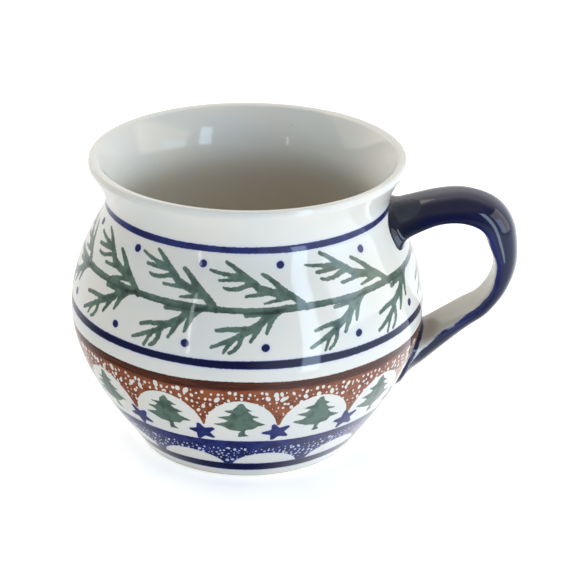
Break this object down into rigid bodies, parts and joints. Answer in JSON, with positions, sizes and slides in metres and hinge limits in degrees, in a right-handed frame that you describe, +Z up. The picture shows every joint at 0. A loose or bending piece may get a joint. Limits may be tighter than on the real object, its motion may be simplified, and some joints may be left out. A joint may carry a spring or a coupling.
{
  "type": "polish stoneware mug",
  "caption": "Round-bellied glazed stoneware mug with a waisted neck, flared rim, recessed foot and one strap handle, painted underglaze with bands, scallops, fir trees and branches.",
  "frame": {"origin": "on the bowl's axis, in the plane of the foot ring that the mug stands on", "axes": "+X from the bowl's axis towards the handle, +Z up along the bowl's axis, +Y by the right-hand rule"},
  "size_m": [0.1268, 0.1008, 0.085],
  "materials": {
    "glazed_stoneware": "clear gloss glaze over white stoneware with underglaze painting",
    "cobalt_glaze": "clear gloss glaze over dark cobalt underglaze"
  },
  "bodies": {
    "root": {"mug_body": "glazed_stoneware", "handle": "cobalt_glaze", "upper_slip_joint": "cobalt_glaze", "lower_slip_joint": "cobalt_glaze"}
  },
  "joints": []
}
